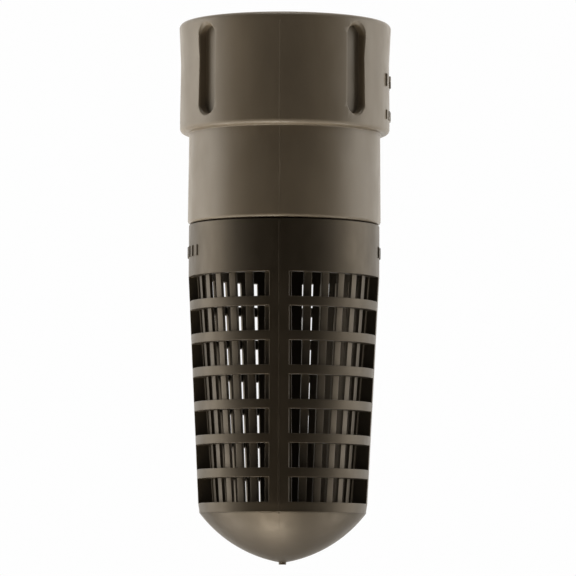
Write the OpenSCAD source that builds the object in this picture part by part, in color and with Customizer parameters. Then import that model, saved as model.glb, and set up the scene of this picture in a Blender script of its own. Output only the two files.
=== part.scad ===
// Foot valve: a spring-loaded check valve with a strainer basket, for the bottom end of a
// suction pipe. +Z points up towards the pipe, and the origin is the centre of the socket's rim.

/* [Pipe socket] */
// Outer radius of the socket at its rim
socket_r = 31; // [30.5:0.1:33]
// Height of the thick socket band
socket_h = 32.35; // [32:0.05:34]
// Radius of the rounded edge around the rim
rim_round = 1.5; // [0.5:0.1:2]
// Crest radius of the female pipe thread, G 1 1/2
thread_crest_r = 22.42; // [22.3:0.01:22.5]
// Root radius of the female pipe thread
thread_root_r = 23.9; // [23.8:0.01:24]
// Pitch of the pipe thread
thread_pitch = 2.309; // [2.2:0.001:2.4]
// Number of thread grooves
thread_turns = 9; // [5:1:9]
// Number of spanner slots around the socket
slot_count = 4; // [2:2:8]
// Width of a spanner slot
slot_w = 6.4; // [4:0.1:8]
// Depth of a spanner slot
slot_depth = 3; // [1:0.1:4]

/* [Valve chamber] */
// Outer radius of the chamber at its upper end
chamber_r = 27.97; // [27.5:0.01:28.1]
// Outer radius of the chamber at its lower end
chamber_foot_r = 28.2; // [28:0.01:28.5]
// Bore radius of the chamber around the poppet
chamber_bore = 23.6; // [23:0.1:24]
// Bore radius that takes the seat ring and the strainer's spigot
lower_bore = 25; // [24.8:0.01:25.2]
// Depth of the chamber's foot below the rim
chamber_foot = 59; // [58:0.1:59]

/* [Poppet] */
// Radius of the poppet disc and its seal
poppet_r = 20.3; // [19.5:0.1:20.8]
// Radius of the poppet's stem
stem_r = 3; // [2.8:0.05:3.2]
// How far the poppet lifts from its seat
poppet_lift = 7.5; // [5:0.1:7.5]
// Number of spring coils
spring_coils = 5; // [4:1:6]
// Radius of the spring's wire
wire_r = 0.55; // [0.4:0.05:0.6]

/* [Strainer] */
// Outer radius of the strainer's skirt
skirt_r = 27.87; // [27.5:0.01:28]
// Depth of the first row of windows below the rim
window_top = 74.5; // [73:0.1:75]
// Number of window rows
window_rows = 7; // [4:1:7]
// Height of a window
window_h = 7.1; // [5:0.1:7.5]
// Height of a ring between two window rows
ring_h = 2.7; // [2:0.1:4]
// Number of thin bars between two pillars
bars_per_quarter = 5; // [3:2:5]
// Width of a thin bar
bar_w = 2.35; // [2:0.05:3]
// Thickness of the thin bars
bar_t = 1; // [0.8:0.1:2.5]
// Width of a pillar at its outer face
pillar_w = 5.7; // [4:0.1:7]
// Width of a pillar at its base, level with the bars
pillar_base_w = 7.7; // [6:0.1:8]
// Turn between the pillars' outer faces and the bars behind them, in degrees
core_turn = -1; // [-2:0.1:2]

/* [Hidden] */
$fn = 96;
// overlap of solids that join, and how far a cutter runs past a face
eps = 0.01;
over = 1;

// colours
socket_grey = [0.33, 0.31, 0.27];
strainer_brown = [0.24, 0.22, 0.18];
inner_grey = [0.28, 0.27, 0.25];
rubber_black = [0.07, 0.07, 0.07];
steel = [0.75, 0.76, 0.77];
bush_white = [0.87, 0.86, 0.82];

// gaps between pieces that fit into each other
running_gap = 0.05;
press_gap = 0.02;
fit_gap = 0.1;
spigot_gap = 0.08;
washer_gap = 0.2;
skirt_gap = 0.25;

// socket
waist_depth = 0.5;
flare_depth = 0.3;
socket_waist_r = socket_r - waist_depth;
socket_foot_r = socket_r - flare_depth;
waist_z = -12;
flare_end = -27;
foot_round = 1.5;
fillet = 0.35;
lead_in = 0.3;
rim_bore = thread_root_r + lead_in;
thread_top = -2;
thread_land = 0.385;
thread_flank_angle = 27.5;
thread_end = thread_top - thread_turns * thread_pitch - thread_land;
shoulder_z = -26;
relief = 0.2;
relief_r = thread_root_r + relief;
slot_top = -2.75;
slot_end = -28.5;
slot_mouth_r = 30.5;
slot_chamfer = 0.4;
// the chamfer's cutter runs this far out, past the socket's surface
slot_flare = 1.2;
passage_r = 19.5;
passage_end = -30;
seat_z = -48;
foot_edge = 1.1;

// raised marks: a flow arrow with plain bars beside it
mark_proud = 0.05;
mark_r = socket_r + mark_proud;
mark_depth = 5;
arrow_z = -18.85;
arrow_h = 3.7;
arrow_shaft = 0.7;
size_bar_z = -28.5;
size_bar_h = 2.7;
mark_pitch = 3.2;
mark_w = 1.5;
skirt_mark_proud = 0.35;
skirt_mark_r = skirt_r + skirt_mark_proud;
skirt_mark_z = -68.9;
skirt_mark_h = 3.2;
left_skirt_marks = 9;
right_skirt_marks = 3;

// gasket, guides and bushes
gasket_h = 2;
gasket_r = thread_root_r - fit_gap;
guide_rim_r = chamber_bore - fit_gap;
guide_rim_w = 2.5;
guide_rim_h = 3.5;
guide_arm_w = 2.4;
guide_arms = 4;
hub_top = -26.5;
hub_end = -34;
hub_r = 9.5;
pocket_r = 8.3;
pocket_top = -28;
boss_r = 4.6;
bush_wall = 0.85;
bush_r = stem_r + running_gap + bush_wall;

// poppet, from its top down
disc_top = -43;
disc_h = 3;
disc_end = disc_top - disc_h;
disc_bevel = 1;
spring_ring_r = 8.1;
spring_ring_w = 0.9;
spring_ring_h = 1.2;
seal_end = seat_z + running_gap;
plate_r = 15.8;
plate_t = 2;
plate_end = seal_end - plate_t;
washer_h = 1;
washer_r = 6;
nut_h = 3.2;
nut_flats = 10;
nut_top = plate_end - washer_h;
collar_r = 4.4;
collar_h = 0.8;
stem_top = -24;
stem_tip = 0.6;
spring_washer_h = 0.5;
spring_washer_w = 0.65;
spring_r = 6.4;

// seat ring with its spider
seat_bore = 17;
seat_r = lower_bore - fit_gap;
seat_h = 4;
seat_end = seat_z - seat_h;
groove_w = 2.1;
spider_legs = 3;
spider_leg_w = 3;
spider_r = 21.5;
spider_post_r = 18;
spider_top = -56;
spider_end = -60;
spider_hub_r = 5.8;
cord_r = 0.8;
cord_groove_r = 23.25;
// the stem still runs in its lower bush when the poppet is fully open
stem_reach = 1.5;
stem_end = spider_end - poppet_lift - stem_reach;

// strainer
spigot_top = -52.1;
spigot_r = lower_bore - spigot_gap;
spigot_bore = 22;
spigot_groove_z = -55.5;
spigot_edge = 0.5;
skirt_top = -chamber_foot - skirt_gap;
skirt_edge = 0.3;
cage_top = -window_top;
row_pitch = window_h + ring_h;
cage_end = cage_top - (window_rows - 1) * row_pitch - window_h;
cage_slope = 0.049;
cage_end_r = skirt_r - cage_slope * (cage_top - cage_end);
bar_top_r = 25.3;
bar_slope = 0.0747;
layer_overlap = 0.3;
quarter = 90;
bar_step = 12.6;
cap_h = 3;
cap_taper = 0.55;
cap_end = cage_end - cap_h;
cap_end_r = cage_end_r - cap_taper;
cap_edge_r = 1;
cap_edge_in = 0.8;
dome_shoulder = 0.4;
dome_arc_r = 37.6;
dome_wall = 2.5;
dome_offset = 5.67;
dome_z = cap_end + sqrt(pow(dome_arc_r, 2) - pow(cap_end_r + dome_offset, 2));
dome_tip = dome_z - sqrt(pow(dome_arc_r, 2) - pow(dome_offset, 2));
dome_steps = 20;
gate_r = 1.1;
gate_h = 0.5;

// Points on an arc about c, from angle a0 to angle a1
function arc(c, r, a0, a1, n = 6) =
    [for (i = [0:n]) let (a = a0 + (a1 - a0) * i / n) [c[0] + r * cos(a), c[1] + r * sin(a)]];

// Outer radius of the layer of bars at height z
function bar_r(z) = bar_top_r - bar_slope * (cage_top - z);

// Height of the dome arc of radius r at the distance x from the axis
function dome_height(r, x) = dome_z - sqrt(pow(r, 2) - pow(x + dome_offset, 2));

// Points down the dome arc of radius r, from the distance x to the axis
function dome_points(r, x) =
    [for (i = [0:dome_steps]) let (s = x * (1 - i / dome_steps)) [s, dome_height(r, s)]];

// A tube between heights z0 and z1
module tube(r_out, r_in, z0, z1) {
    translate([0, 0, z0])
        difference() {
            cylinder(r = r_out, h = z1 - z0);
            translate([0, 0, -over]) cylinder(r = r_in, h = z1 - z0 + 2 * over);
        }
}

// A solid disc between heights z0 and z1
module disc(r, z0, z1) {
    translate([0, 0, z0]) cylinder(r = r, h = z1 - z0, $fn = 180);
}

// An O-ring whose centre line has radius r
module o_ring(r, z) {
    translate([0, 0, z]) rotate_extrude() translate([r, 0]) circle(r = cord_r, $fn = 32);
}

// One thread groove, with flat land and root and 55 degree flanks
module thread_groove(z) {
    flank = (thread_root_r - thread_crest_r) * tan(thread_flank_angle);
    end = z - thread_pitch + thread_land;
    rotate_extrude()
        polygon([
            [thread_crest_r - over, z], [thread_crest_r, z],
            [thread_root_r, z - flank], [thread_root_r, end + flank],
            [thread_crest_r, end], [thread_crest_r - over, end]
        ]);
}

// Solid outside of the socket and the chamber
module body_outside() {
    rotate_extrude($fn = 180)
        polygon(concat(
            [[0, 0]],
            arc([socket_r - rim_round, -rim_round], rim_round, 90, 0),
            [[socket_waist_r, waist_z], [socket_foot_r, flare_end]],
            arc([socket_foot_r - foot_round, foot_round - socket_h], foot_round, 0, -90),
            arc([chamber_r + fillet, -socket_h - fillet], fillet, 90, 180),
            arc([chamber_foot_r - foot_edge, foot_edge - chamber_foot], foot_edge, 0, -90),
            [[0, -chamber_foot]]
        ));
}

// Everything that is bored out of the body
module body_bores() {
    disc(rim_bore, thread_top, over);
    disc(thread_crest_r, thread_end - eps, thread_top + eps);
    for (i = [0:thread_turns - 1]) thread_groove(thread_top - thread_land - i * thread_pitch);
    disc(relief_r, shoulder_z, thread_end);
    disc(passage_r, passage_end - eps, shoulder_z + eps);
    disc(chamber_bore, seat_z - eps, passage_end);
    disc(lower_bore, -chamber_foot - over, seat_z);
}

// A spanner slot with round ends and a chamfered mouth, cut into the socket at the given angle
module spanner_slot(angle) {
    half = slot_w / 2;
    upper = slot_top - half;
    lower = slot_end + half;
    floor_r = socket_r - slot_depth;
    chamfer_r = slot_mouth_r - slot_chamfer;
    mouth_r = chamfer_r + slot_flare;
    mouth_half = half + slot_flare;
    rotate([0, 0, angle]) {
        for (z = [lower, upper])
            translate([floor_r, 0, z])
                rotate([0, 90, 0]) {
                    cylinder(r = half, h = 2 * slot_depth, $fn = 48);
                    translate([0, 0, chamfer_r - floor_r])
                        cylinder(r1 = half, r2 = mouth_half, h = slot_flare, $fn = 48);
                }
        translate([0, 0, lower])
            linear_extrude(upper - lower)
                polygon([
                    [floor_r, -half], [chamfer_r, -half], [mouth_r, -mouth_half],
                    [mouth_r, mouth_half], [chamfer_r, half], [floor_r, half]
                ]);
    }
}

// Raised upright bars, centred on an angle
module raised_bars(angle, r, z, h, offsets) {
    intersection() {
        disc(r, z - over, z + h + over);
        for (y = offsets)
            rotate([0, 0, angle])
                translate([r - mark_depth, y - mark_w / 2, z]) cube([2 * mark_depth, mark_w, h]);
    }
}

// A raised arrow pointing up, towards the pipe
module flow_arrow(angle) {
    half = arrow_h / 2;
    intersection() {
        disc(mark_r, arrow_z - over, arrow_z + arrow_h + over);
        rotate([0, 0, angle])
            translate([mark_r - mark_depth, 0, arrow_z])
                rotate([90, 0, 90])
                    linear_extrude(2 * mark_depth)
                        polygon([
                            [-arrow_shaft, 0], [arrow_shaft, 0], [arrow_shaft, half], [half, half],
                            [0, arrow_h], [-half, half], [-arrow_shaft, half]
                        ]);
    }
}

module valve_body() {
    color(socket_grey)
        difference() {
            union() {
                difference() {
                    body_outside();
                    for (i = [0:slot_count - 1]) spanner_slot((i + 0.5) * 360 / slot_count);
                }
                flow_arrow(0);
                raised_bars(0, mark_r, arrow_z, arrow_h, [-2 * mark_pitch, 2 * mark_pitch]);
                raised_bars(0, mark_r, size_bar_z, size_bar_h, [for (i = [-2:2]) i * mark_pitch]);
            }
            body_bores();
        }
}

module socket_gasket() {
    color(rubber_black) tube(gasket_r, passage_r + fit_gap, shoulder_z, shoulder_z + gasket_h);
}

module upper_guide() {
    color(inner_grey)
        difference() {
            union() {
                tube(guide_rim_r, guide_rim_r - guide_rim_w, passage_end - guide_rim_h, passage_end);
                translate([0, 0, hub_end]) cylinder(r = hub_r, h = hub_top - hub_end);
                for (i = [0:guide_arms - 1])
                    rotate([0, 0, i * 360 / guide_arms])
                        translate([0, -guide_arm_w / 2, passage_end - guide_rim_h])
                            cube([guide_rim_r - guide_rim_w / 2, guide_arm_w, guide_rim_h]);
            }
            tube(pocket_r, boss_r, hub_end - over, pocket_top);
            disc(bush_r + press_gap, hub_end - over, hub_top + over);
        }
}

module upper_bush() {
    color(bush_white) tube(bush_r, stem_r + running_gap, hub_end, hub_top);
}

// The spring as level coils on a thin sleeve that holds them together
module return_spring() {
    end = disc_top + spring_washer_h;
    step = (pocket_top - end - 2 * wire_r) / (spring_coils - 1);
    color(steel)
        difference() {
            tube(spring_r + wire_r, spring_r - wire_r, end, pocket_top);
            for (i = [0:spring_coils - 2])
                tube(spring_r + over, spring_r - wire_r / 2, end + 2 * wire_r + i * step,
                    end + (i + 1) * step);
        }
}

module spring_washer() {
    color(steel) tube(spring_r + spring_washer_w, collar_r + fit_gap, disc_top, disc_top + spring_washer_h);
}

module valve_stem() {
    color(steel) {
        translate([0, 0, stem_end + stem_tip])
            cylinder(r = stem_r, h = stem_top - stem_end - 2 * stem_tip, $fn = 64);
        translate([0, 0, stem_top - stem_tip])
            cylinder(r1 = stem_r, r2 = stem_r - stem_tip, h = stem_tip, $fn = 64);
        translate([0, 0, stem_end])
            cylinder(r1 = stem_r - stem_tip, r2 = stem_r, h = stem_tip, $fn = 64);
        translate([0, 0, disc_top]) cylinder(r = collar_r, h = collar_h);
    }
}

module poppet_disc() {
    color(inner_grey)
        difference() {
            union() {
                disc(poppet_r, disc_end, disc_top - disc_bevel);
                translate([0, 0, disc_top - disc_bevel])
                    cylinder(r1 = poppet_r, r2 = poppet_r - disc_bevel, h = disc_bevel, $fn = 180);
                tube(spring_ring_r, spring_ring_r - spring_ring_w, disc_top - eps,
                    disc_top + spring_ring_h);
            }
            disc(stem_r + running_gap, disc_end - over, disc_top + over);
        }
}

module poppet_seal() {
    color(rubber_black) tube(poppet_r, stem_r + running_gap, seal_end, disc_end);
}

module seal_plate() {
    color(steel) tube(plate_r, stem_r + running_gap, plate_end, seal_end);
}

module plate_washer() {
    color(steel) tube(washer_r, stem_r + washer_gap, plate_end - washer_h, plate_end);
}

module stem_nut() {
    color(steel)
        difference() {
            translate([0, 0, nut_top - nut_h]) cylinder(d = nut_flats / cos(30), h = nut_h, $fn = 6);
            disc(stem_r + running_gap, nut_top - nut_h - over, nut_top + over);
        }
}

module seat_ring() {
    color(inner_grey)
        difference() {
            union() {
                tube(seat_r, seat_bore, seat_end, seat_z);
                translate([0, 0, spider_end]) cylinder(r = spider_hub_r, h = spider_top - spider_end);
                for (i = [0:spider_legs - 1])
                    rotate([0, 0, quarter + i * 360 / spider_legs]) {
                        translate([0, -spider_leg_w / 2, spider_end])
                            cube([spider_r, spider_leg_w, spider_top - spider_end]);
                        translate([spider_post_r, -spider_leg_w / 2, spider_end])
                            cube([spider_r - spider_post_r, spider_leg_w, seat_end + over - spider_end]);
                    }
            }
            disc(bush_r + press_gap, spider_end - over, spider_top + over);
            tube(seat_r + over, cord_groove_r, (seat_z + seat_end - groove_w) / 2,
                (seat_z + seat_end + groove_w) / 2);
        }
}

module seat_o_ring() {
    color(rubber_black) o_ring(cord_groove_r + cord_r + press_gap, (seat_z + seat_end) / 2);
}

module lower_bush() {
    color(bush_white) tube(bush_r, stem_r + running_gap, spider_end, spider_top);
}

// Solid outside of the spigot, skirt, cage and the band below it
module cage_outside() {
    rotate_extrude($fn = 180)
        polygon(concat(
            [[0, spigot_top], [spigot_r - spigot_edge, spigot_top],
                [spigot_r, spigot_top - spigot_edge], [spigot_r, skirt_top]],
            arc([skirt_r - skirt_edge, skirt_top - skirt_edge], skirt_edge, 90, 0, 3),
            [[skirt_r, cage_top], [cage_end_r, cage_end]],
            arc([cap_end_r - cap_edge_in, cap_end + cap_edge_r / 2], cap_edge_r, 10, -30, 3),
            [[0, cap_end]]
        ));
}

// Solid outside of the dome, with the nib that its moulding gate leaves
module dome_outside() {
    rotate_extrude($fn = 180)
        polygon(concat(
            [[0, cap_end], [cap_end_r, cap_end]],
            dome_points(dome_arc_r, cap_end_r - dome_shoulder)
        ));
    disc(gate_r, dome_tip - gate_h, dome_tip + over);
}

// The hollow inside the strainer, within the bars
module strainer_hollow() {
    top_r = bar_r(cage_top) - bar_t;
    end_r = bar_r(cage_end) - bar_t;
    rotate_extrude($fn = 180)
        polygon(concat(
            [[0, spigot_top + over], [spigot_bore, spigot_top + over], [spigot_bore, skirt_top - over],
                [top_r, skirt_top - 3 * over], [top_r, cage_top], [end_r, cage_end]],
            dome_points(dome_arc_r - dome_wall, end_r)
        ));
}

// A slab of width w through the axis, as high as the cage, that reaches out to radius r
module cage_slab(r, w) {
    translate([-r, -w / 2, cage_end - over]) cube([2 * r, w, cage_top - cage_end + 2 * over]);
}

// The space between the bars and behind the rings
module between_bars() {
    difference() {
        translate([0, 0, cage_end])
            cylinder(r1 = bar_r(cage_end) + layer_overlap, r2 = bar_r(cage_top) + layer_overlap,
                h = cage_top - cage_end, $fn = 180);
        for (q = [0:1])
            rotate([0, 0, core_turn + q * quarter]) {
                cage_slab(skirt_r, pillar_base_w);
                for (i = [0:bars_per_quarter - 1])
                    rotate([0, 0, quarter / 2 + (i - (bars_per_quarter - 1) / 2) * bar_step])
                        cage_slab(skirt_r, bar_w);
            }
    }
}

// One row of windows between the pillars, open down to the bars
module window_row(z) {
    far_r = skirt_r + 2 * over;
    difference() {
        rotate_extrude($fn = 180)
            polygon([
                [bar_r(z), z], [far_r, z],
                [far_r, z - window_h], [bar_r(z - window_h), z - window_h]
            ]);
        for (q = [0:1]) rotate([0, 0, q * quarter]) cage_slab(far_r + over, pillar_w);
    }
}

// A row of raised bars on the skirt, centred on an angle
module skirt_marks(angle, count) {
    raised_bars(angle, skirt_mark_r, skirt_mark_z, skirt_mark_h,
        [for (i = [0:count - 1]) (i - (count - 1) / 2) * mark_pitch]);
}

module strainer_basket() {
    color(strainer_brown)
        difference() {
            union() {
                cage_outside();
                skirt_marks(0, right_skirt_marks);
                skirt_marks(180, left_skirt_marks);
            }
            strainer_hollow();
            between_bars();
            for (i = [0:window_rows - 1]) window_row(cage_top - i * row_pitch);
            tube(spigot_r + over, cord_groove_r, spigot_groove_z - groove_w / 2,
                spigot_groove_z + groove_w / 2);
        }
}

module strainer_dome() {
    color(strainer_brown)
        difference() {
            dome_outside();
            strainer_hollow();
        }
}

module spigot_o_ring() {
    color(rubber_black) o_ring(cord_groove_r + cord_r + press_gap, spigot_groove_z);
}

valve_body();
socket_gasket();
upper_guide();
upper_bush();
return_spring();
spring_washer();
valve_stem();
poppet_disc();
poppet_seal();
seal_plate();
plate_washer();
stem_nut();
seat_ring();
seat_o_ring();
lower_bush();
strainer_basket();
strainer_dome();
spigot_o_ring();
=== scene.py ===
import math

import bpy
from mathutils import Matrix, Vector
from mathutils.bvhtree import BVHTree


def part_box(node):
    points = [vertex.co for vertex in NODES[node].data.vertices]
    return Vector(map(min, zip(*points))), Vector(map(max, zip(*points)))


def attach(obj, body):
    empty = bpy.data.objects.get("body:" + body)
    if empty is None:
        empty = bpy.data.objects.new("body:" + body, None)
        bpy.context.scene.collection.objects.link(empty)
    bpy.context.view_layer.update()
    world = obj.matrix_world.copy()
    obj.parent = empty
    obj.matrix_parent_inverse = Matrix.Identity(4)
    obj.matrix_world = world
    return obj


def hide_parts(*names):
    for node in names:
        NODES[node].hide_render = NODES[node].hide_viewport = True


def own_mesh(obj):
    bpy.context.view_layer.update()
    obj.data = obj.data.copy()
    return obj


# Foot valve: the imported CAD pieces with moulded-plastic, rubber and steel finishes, a wound
# spring in place of the CAD's ring stack, and the fine parting lines of the two mouldings.

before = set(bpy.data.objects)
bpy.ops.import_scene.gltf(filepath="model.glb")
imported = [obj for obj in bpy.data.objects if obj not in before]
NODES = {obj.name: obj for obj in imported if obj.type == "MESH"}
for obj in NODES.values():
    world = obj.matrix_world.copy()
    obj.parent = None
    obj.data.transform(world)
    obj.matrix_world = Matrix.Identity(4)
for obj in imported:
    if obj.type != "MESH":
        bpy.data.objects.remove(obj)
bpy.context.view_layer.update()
MM = 0.001


# ---------------------------------------------------------------- materials

# Sizes of the surfaces' unevenness, in noise features per metre
FLOW_MARKS = 90
GLOSS_PATCHES = 260
PLASTIC_SKIN = 1800
RUBBER_BLOOM = 300
RUBBER_PATCHES = 700
RUBBER_SKIN = 2500
TOOL_MARKS = 4500

# Depths of the surfaces' fine relief
PLASTIC_SKIN_DEPTH = 0.012 * MM
RUBBER_SKIN_DEPTH = 0.02 * MM
TOOL_MARK_DEPTH = 0.002 * MM

# The part of the noise's 0 to 1 range over which a blend runs
BLEND_START = 0.3
BLEND_END = 0.7

# How far the plastics' roughness goes either way
GLOSS_SPREAD = 0.05

RUBBER_ROUGHNESS = 0.6
RUBBER_SPECULAR = 0.35
RUBBER_SPREAD = 0.1
# How much brighter the rubber's bloom is than the rubber
BLOOM_GAIN = 1.8

STEEL_SPECULAR = 0.5
# How dark the steel's tool marks are beside the steel, and how its roughness runs with them
MARK_SHADE = 0.9
MARK_SMOOTHER = 0.04
MARK_ROUGHER = 0.06


def new_material(name, base, roughness, specular, metallic=0.0):
    """A material with a Principled shader. Gives back the material, its tree and its shader."""
    material = bpy.data.materials.new(name)
    material.use_nodes = True
    tree = material.node_tree
    shader = tree.nodes["Principled BSDF"]
    shader.inputs["Base Color"].default_value = (*base, 1)
    shader.inputs["Roughness"].default_value = roughness
    shader.inputs["Specular IOR Level"].default_value = specular
    shader.inputs["Metallic"].default_value = metallic
    return material, tree, shader


def noise(tree, features, detail, squeeze=(1, 1, 1)):
    """Noise in the object's own space, squeezed by a factor along each axis."""
    place = tree.nodes.new("ShaderNodeTexCoord")
    mapping = tree.nodes.new("ShaderNodeMapping")
    mapping.inputs["Scale"].default_value = squeeze
    texture = tree.nodes.new("ShaderNodeTexNoise")
    texture.inputs["Scale"].default_value = features
    texture.inputs["Detail"].default_value = detail
    tree.links.new(place.outputs["Object"], mapping.inputs["Vector"])
    tree.links.new(mapping.outputs["Vector"], texture.inputs["Vector"])
    return texture.outputs["Fac"]


def as_colour(value):
    """A colour with its alpha, from a colour or from a single number."""
    return (*value, 1) if hasattr(value, "__len__") else (value, value, value, 1)


def blend(tree, fac, low, high):
    """Turns a 0 to 1 value into a blend between two colours or two numbers."""
    node = tree.nodes.new("ShaderNodeValToRGB")
    node.color_ramp.elements[0].position = BLEND_START
    node.color_ramp.elements[1].position = BLEND_END
    node.color_ramp.elements[0].color = as_colour(low)
    node.color_ramp.elements[1].color = as_colour(high)
    tree.links.new(fac, node.inputs["Fac"])
    return node.outputs["Color"]


def bump(tree, shader, height, depth, strength):
    """Fine relief of a given depth in metres."""
    node = tree.nodes.new("ShaderNodeBump")
    node.inputs["Strength"].default_value = strength
    node.inputs["Distance"].default_value = depth
    tree.links.new(height, node.inputs["Height"])
    tree.links.new(node.outputs["Normal"], shader.inputs["Normal"])


def moulded_plastic(name, base, roughness, specular=0.5, mottle=0.10, tint=(1, 1, 1)):
    """Injection-moulded plastic: faint flow mottling, uneven gloss and a very fine skin."""
    material, tree, shader = new_material(name, base, roughness, specular)
    shader.inputs["Specular Tint"].default_value = (*tint, 1)
    flow = noise(tree, FLOW_MARKS, detail=4, squeeze=(1, 1, 0.35))
    darker = [c * (1 - mottle) for c in base]
    lighter = [c * (1 + mottle) for c in base]
    tree.links.new(blend(tree, flow, darker, lighter), shader.inputs["Base Color"])
    patches = noise(tree, GLOSS_PATCHES, detail=3, squeeze=(1, 1, 0.5))
    gloss = blend(tree, patches, roughness - GLOSS_SPREAD, roughness + GLOSS_SPREAD)
    tree.links.new(gloss, shader.inputs["Roughness"])
    skin = noise(tree, PLASTIC_SKIN, detail=2)
    bump(tree, shader, skin, PLASTIC_SKIN_DEPTH, strength=0.5)
    return material


def soft_rubber(name, base):
    """Nitrile rubber: matt, with a fine uneven skin and a faint bloom."""
    material, tree, shader = new_material(name, base, RUBBER_ROUGHNESS, RUBBER_SPECULAR)
    bloomed = [c * BLOOM_GAIN for c in base]
    bloom = blend(tree, noise(tree, RUBBER_BLOOM, detail=4), base, bloomed)
    tree.links.new(bloom, shader.inputs["Base Color"])
    patches = noise(tree, RUBBER_PATCHES, detail=3)
    smooth, rough = RUBBER_ROUGHNESS - RUBBER_SPREAD, RUBBER_ROUGHNESS + RUBBER_SPREAD
    tree.links.new(blend(tree, patches, smooth, rough), shader.inputs["Roughness"])
    skin = noise(tree, RUBBER_SKIN, detail=3)
    bump(tree, shader, skin, RUBBER_SKIN_DEPTH, strength=0.6)
    return material


def turned_steel(name, base, roughness, squeeze):
    """Stainless steel with fine tool marks. A squeeze along Z draws them out around the axis."""
    material, tree, shader = new_material(name, base, roughness, STEEL_SPECULAR, metallic=1.0)
    marks = noise(tree, TOOL_MARKS, detail=2, squeeze=squeeze)
    darker = [c * MARK_SHADE for c in base]
    tree.links.new(blend(tree, marks, darker, base), shader.inputs["Base Color"])
    gloss = blend(tree, marks, roughness - MARK_SMOOTHER, roughness + MARK_ROUGHER)
    tree.links.new(gloss, shader.inputs["Roughness"])
    bump(tree, shader, marks, TOOL_MARK_DEPTH, strength=0.4)
    return material


SOCKET_PLASTIC = moulded_plastic("socket_plastic", (0.141, 0.116, 0.084), 0.42)
STRAINER_PLASTIC = moulded_plastic("strainer_plastic", (0.009, 0.0060, 0.0026), 0.50,
                                   specular=0.78, tint=(1, 0.86, 0.68))
INNER_PLASTIC = moulded_plastic("inner_plastic", (0.046, 0.043, 0.037), 0.45)
BUSH_PLASTIC = moulded_plastic("bush_plastic", (0.70, 0.68, 0.62), 0.35, mottle=0.03)
RUBBER = soft_rubber("seal_rubber", (0.012, 0.012, 0.012))
STEEL = turned_steel("stainless", (0.60, 0.59, 0.57), 0.28, (1, 1, 12))
SPRING_STEEL = turned_steel("spring_wire", (0.52, 0.51, 0.49), 0.24, (4, 4, 4))

# Each CAD node's finish. The return spring has none, because a wound spring replaces it.
FINISHES = {
    "valve_body": SOCKET_PLASTIC,
    "strainer_basket": STRAINER_PLASTIC,
    "strainer_dome": STRAINER_PLASTIC,
    "upper_guide": INNER_PLASTIC,
    "poppet_disc": INNER_PLASTIC,
    "seat_ring": INNER_PLASTIC,
    "upper_bush": BUSH_PLASTIC,
    "lower_bush": BUSH_PLASTIC,
    "socket_gasket": RUBBER,
    "poppet_seal": RUBBER,
    "seat_o_ring": RUBBER,
    "spigot_o_ring": RUBBER,
    "valve_stem": STEEL,
    "spring_washer": STEEL,
    "seal_plate": STEEL,
    "plate_washer": STEEL,
    "stem_nut": STEEL,
}


# ---------------------------------------------------------------- carried-over CAD pieces

WELD_DISTANCE = 0.001 * MM
SHARP_ANGLE = math.radians(32)

# How wide the sharp edges are rounded, in millimetres. The O-rings have no sharp edges.
EDGE_WIDTHS = {
    "valve_body": 0.15,
    "strainer_basket": 0.15,
    "strainer_dome": 0.06,
    "upper_guide": 0.2,
    "seat_ring": 0.2,
    "stem_nut": 0.25,
    "poppet_seal": 0.2,
    "seal_plate": 0.25,
    "plate_washer": 0.12,
    "spring_washer": 0.08,
    "socket_gasket": 0.2,
    "poppet_disc": 0.2,
    "upper_bush": 0.1,
    "lower_bush": 0.1,
    "valve_stem": 0.08,
}


def soften(piece, width):
    """Joins a CAD mesh's split corners, rounds its sharp edges a little and shades it smooth."""
    weld = piece.modifiers.new("weld", "WELD")
    weld.merge_threshold = WELD_DISTANCE
    if width:
        round_off = piece.modifiers.new("round_off", "BEVEL")
        round_off.width = width
        round_off.segments = 2
        round_off.limit_method = "ANGLE"
        round_off.angle_limit = SHARP_ANGLE
        round_off.use_clamp_overlap = False
        round_off.harden_normals = True
    piece.data.shade_smooth()
    even = piece.modifiers.new("even_shading", "WEIGHTED_NORMAL")
    even.keep_sharp = True


for node_name, finish in FINISHES.items():
    cad_piece = NODES[node_name]
    cad_piece.data.materials.clear()
    cad_piece.data.materials.append(finish)
    soften(cad_piece, EDGE_WIDTHS.get(node_name, 0) * MM)


# ---------------------------------------------------------------- new pieces

def mesh_piece(name, vertices, faces, material):
    """A smooth-shaded mesh object with one material."""
    mesh = bpy.data.meshes.new(name)
    mesh.from_pydata(vertices, [], faces)
    mesh.validate()
    mesh.shade_smooth()
    mesh.materials.append(material)
    piece = bpy.data.objects.new(name, mesh)
    bpy.context.scene.collection.objects.link(piece)
    return piece


TUBE_SIDES = 14
STEPS_PER_TURN = 40
ACTIVE_TURNS = 4.5
# Closed turns at each end of the spring, and their spacing in wire diameters
CLOSED_TURNS = 0.9
CLOSED_SPACING = 1.02


def swept_tube(name, path, radius, material):
    """A closed tube of the given radius along a list of points that wind around Z."""
    vertices, faces = [], []
    for i, point in enumerate(path):
        ahead = path[min(i + 1, len(path) - 1)] - path[max(i - 1, 0)]
        along = ahead.normalized()
        out = Vector((point.x, point.y, 0)).normalized()
        up = along.cross(out).normalized()
        out = up.cross(along).normalized()
        for k in range(TUBE_SIDES):
            turn = 2 * math.pi * k / TUBE_SIDES
            vertices.append(point + radius * (math.cos(turn) * out + math.sin(turn) * up))
    for i in range(len(path) - 1):
        for k in range(TUBE_SIDES):
            a, b = i * TUBE_SIDES + k, i * TUBE_SIDES + (k + 1) % TUBE_SIDES
            faces.append((a, b, b + TUBE_SIDES, a + TUBE_SIDES))
    last = (len(path) - 1) * TUBE_SIDES
    faces.append(tuple(reversed(range(TUBE_SIDES))))
    faces.append(tuple(last + k for k in range(TUBE_SIDES)))
    return mesh_piece(name, vertices, faces, material)


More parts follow.
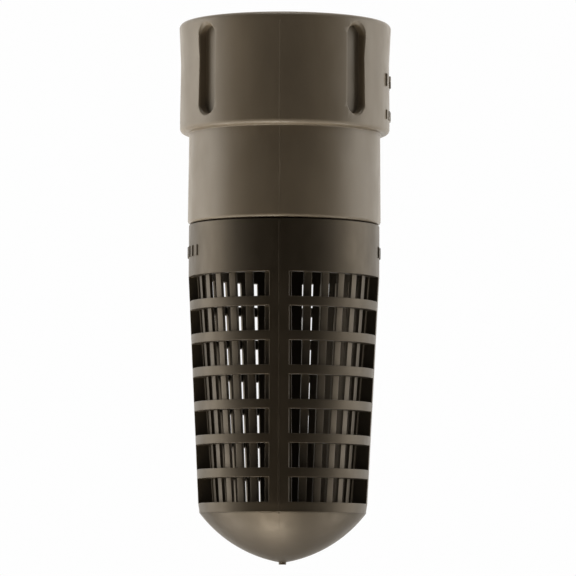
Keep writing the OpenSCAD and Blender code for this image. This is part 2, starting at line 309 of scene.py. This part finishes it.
def coil_spring(low, high, mean_r, wire_r):
    """A compression spring between two heights, with closed turns at both ends."""
    path = []
    height = high - low - 2 * wire_r
    closed = CLOSED_TURNS * 2 * wire_r * CLOSED_SPACING
    all_turns = ACTIVE_TURNS + 2 * CLOSED_TURNS
    for i in range(int(all_turns * STEPS_PER_TURN) + 1):
        t = i / STEPS_PER_TURN
        if t < CLOSED_TURNS:
            z = closed * t / CLOSED_TURNS
        elif t > ACTIVE_TURNS + CLOSED_TURNS:
            z = height - closed * (all_turns - t) / CLOSED_TURNS
        else:
            share = (t - CLOSED_TURNS) / ACTIVE_TURNS
            z = closed + (height - 2 * closed) * share
        turn = 2 * math.pi * t
        path.append(Vector((mean_r * math.cos(turn), mean_r * math.sin(turn), low + wire_r + z)))
    return swept_tube("return_spring_coil", path, wire_r, SPRING_STEEL)


SPRING_WIRE_R = 0.55 * MM
# The wound spring takes its ends and outer radius from the CAD's return spring
spring_low, spring_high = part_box("return_spring")
spring_mean_r = spring_high.x - SPRING_WIRE_R
spring = coil_spring(spring_low.z, spring_high.z, spring_mean_r, SPRING_WIRE_R)
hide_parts("return_spring")
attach(spring, "housing")
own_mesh(spring)


# A parting line's section in millimetres: how far across it, and how far proud of the surface
LINE_SECTION = (
    (-0.30, -0.10), (-0.20, 0.02), (-0.07, 0.05), (0.07, 0.05), (0.20, 0.02), (0.30, -0.10),
)
LINE_STEP = 0.25 * MM
# How far from the axis the rays start that find the surface, well outside the valve
RAY_START = 0.1


def line_corners(node, side, high, low, rise):
    """The line's section laid on a node's surface, row by row from its top to its foot."""
    mesh = NODES[node].data
    corners = [vertex.co for vertex in mesh.vertices]
    surface = BVHTree.FromPolygons(corners, [face.vertices for face in mesh.polygons])
    vertices = []
    for i in range(int((high - low) / LINE_STEP) + 1):
        z = high - i * LINE_STEP
        hit = surface.ray_cast(Vector((0, side * RAY_START, z)), Vector((0, -side, 0)))[0]
        if hit is None:
            continue
        for across, proud in LINE_SECTION:
            vertices.append((across * MM, hit.y + side * rise * proud * MM, z))
    return vertices


def parting_line(name, node, side, high, low, body, rise):
    """The fine raised line that a split mould leaves down the front or back of a moulding."""
    vertices = line_corners(node, side, high, low, rise)
    faces = []
    row = len(LINE_SECTION)
    last = len(vertices) - row
    for start in range(0, last, row):
        for k in range(row):
            a, b = start + k, start + (k + 1) % row
            outward = (a, b, b + row, a + row) if side < 0 else (b, a, a + row, b + row)
            faces.append(outward)
    faces.append(tuple(range(row))[:: side])
    faces.append(tuple(last + k for k in range(row))[:: -side])
    ridge = mesh_piece(name, vertices, faces, FINISHES[node])
    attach(ridge, body)


body_low, body_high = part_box("valve_body")
basket_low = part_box("strainer_basket")[0]
dome_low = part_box("strainer_dome")[0]

# The socket's line starts below the rim's flare, so that it stays inside the CAD's box
socket_line = (body_high.z - 2.7 * MM, body_low.z + 0.4 * MM)
# The cage's line starts below the gap under the body and ends just above the dome
cage_line = (body_low.z - 0.8 * MM, basket_low.z + 0.05 * MM)
# The dome's line ends just above its tip
dome_line = (basket_low.z - 0.1 * MM, dome_low.z + 1.2 * MM)

# Moulding, CAD node, top and foot, body, slot, and how much of the section's rise the line has
PARTING_LINES = (
    ("socket", "valve_body", socket_line, "housing", "socket_plastic", 1.0),
    ("cage", "strainer_basket", cage_line, "strainer", "strainer_plastic", 1.0),
    ("dome", "strainer_dome", dome_line, "strainer", "strainer_plastic", 0.4),
)
for place_name, side in (("front", -1), ("back", 1)):
    for moulding, node, (high, low), body, slot, rise in PARTING_LINES:
        line_name = f"{moulding}_parting_line_{place_name}"
        parting_line(line_name, node, side, high, low, body, rise)


# ---------------------------------------------------------------- camera, floor and light

CAMERA_DISTANCE = 1.287
CAMERA_TURN = math.radians(2.8)
CAMERA_HEIGHT = -0.1712
CAMERA_ROLL = math.radians(0.3)
TARGET_HEIGHT = -0.0774
# How far the target lies beside the valve's axis, across the view
TARGET_SHIFT = 1.2 * MM
# In millimetres, as the camera takes them
SENSOR_WIDTH = 36
LENS = 276

FLOOR_HEIGHT = -1.50
FLOOR_HALF = 3.0

BACKDROP = (0.99, 0.99, 0.99, 1)
FILL = (1.0, 0.97, 0.92, 1)
# The fill's strength in front of the valve and behind it, and the part of the direction's Y
# over which it rises from one to the other
FILL_IN_FRONT = 0.05
FILL_BEHIND = 1.6
FILL_RISE_START = -0.1
FILL_RISE_END = 0.8

MIDDLE = (0, 0, -0.08)
LOW_CAGE = (0, 0, -0.12)
WARM = (1.0, 0.94, 0.84)
AMBER = (1.0, 0.80, 0.54)

# Name, place, target, size, power in watts and colour of each light
LIGHTS = (
    ("left_panel", (-0.78, 0.06, -0.02), MIDDLE, (0.6, 1.0), 6.0, WARM),
    ("right_panel", (0.78, 0.09, -0.02), MIDDLE, (0.6, 1.0), 4.6, WARM),
    ("left_low_strip", (-0.85, 0.20, -1.15), MIDDLE, (0.9, 0.30), 6.0, WARM),
    ("right_low_strip", (0.85, 0.20, -1.15), MIDDLE, (0.9, 0.30), 4.6, WARM),
    ("low_panel", (-0.13, -0.05, -1.05), LOW_CAGE, (0.05, 0.30), 5.0, WARM),
    ("top_panel", (0, -0.10, 1.0), MIDDLE, (0.5, 0.5), 5.0, WARM),
    ("low_front_panel", (-0.12, -0.33, -0.62), MIDDLE, (0.3, 0.3), 0.9, AMBER),
)


def aim(thing, place, target):
    """Puts a camera or light in place and turns it to look at the target."""
    thing.location = place
    thing.rotation_euler = (Vector(target) - Vector(place)).to_track_quat("-Z", "Y").to_euler()


def add_camera():
    """A long lens a little below the dome, looking slightly up, as the object was seen."""
    camera = bpy.data.objects.new("camera", bpy.data.cameras.new("camera"))
    bpy.context.scene.collection.objects.link(camera)
    cosine, sine = math.cos(CAMERA_TURN), math.sin(CAMERA_TURN)
    place = Vector((CAMERA_DISTANCE * sine, -CAMERA_DISTANCE * cosine, CAMERA_HEIGHT))
    target = Vector((0, 0, TARGET_HEIGHT)) + TARGET_SHIFT * Vector((cosine, sine, 0))
    aim(camera, place, target)
    camera.rotation_euler.rotate_axis("Z", CAMERA_ROLL)
    camera.data.sensor_width = SENSOR_WIDTH
    camera.data.lens = LENS
    camera.data.clip_start = 0.01
    camera.data.clip_end = 20
    bpy.context.scene.camera = camera


def add_area_light(name, place, target, size, power, colour):
    """A soft rectangular light aimed at a point, itself out of the camera's sight."""
    data = bpy.data.lights.new(name, "AREA")
    data.shape = "RECTANGLE"
    data.size, data.size_y = size
    data.energy = power
    data.color = colour
    light = bpy.data.objects.new(name, data)
    light.visible_camera = False
    bpy.context.scene.collection.objects.link(light)
    aim(light, place, target)


def add_floor():
    """A plain pale floor well below the valve, which hangs from its socket."""
    outline = ((-1, -1), (1, -1), (1, 1), (-1, 1))
    corners = [(x * FLOOR_HALF, y * FLOOR_HALF, FLOOR_HEIGHT) for x, y in outline]
    material = new_material("floor", (0.80, 0.80, 0.79), 0.7, 0.2)[0]
    floor = mesh_piece("floor", corners, [(0, 1, 2, 3)], material)


def add_world():
    """A pale backdrop for the camera, with a fill light that comes mostly from behind."""
    world = bpy.data.worlds.new("studio")
    bpy.context.scene.world = world
    world.use_nodes = True
    nodes, links = world.node_tree.nodes, world.node_tree.links
    nodes.clear()
    seen = nodes.new("ShaderNodeBackground")
    seen.inputs["Color"].default_value = BACKDROP
    fill = nodes.new("ShaderNodeBackground")
    fill.inputs["Color"].default_value = FILL
    direction = nodes.new("ShaderNodeTexCoord")
    parts = nodes.new("ShaderNodeSeparateXYZ")
    strength = nodes.new("ShaderNodeMapRange")
    strength.inputs["From Min"].default_value = FILL_RISE_START
    strength.inputs["From Max"].default_value = FILL_RISE_END
    strength.inputs["To Min"].default_value = FILL_IN_FRONT
    strength.inputs["To Max"].default_value = FILL_BEHIND
    path = nodes.new("ShaderNodeLightPath")
    mix = nodes.new("ShaderNodeMixShader")
    output = nodes.new("ShaderNodeOutputWorld")
    links.new(direction.outputs["Generated"], parts.inputs["Vector"])
    links.new(parts.outputs["Y"], strength.inputs["Value"])
    links.new(strength.outputs["Result"], fill.inputs["Strength"])
    links.new(path.outputs["Is Camera Ray"], mix.inputs["Fac"])
    links.new(fill.outputs["Background"], mix.inputs[1])
    links.new(seen.outputs["Background"], mix.inputs[2])
    links.new(mix.outputs["Shader"], output.inputs["Surface"])


add_camera()
add_world()
add_floor()
for light in LIGHTS:
    add_area_light(*light)
bpy.context.scene.view_settings.view_transform = "Standard"
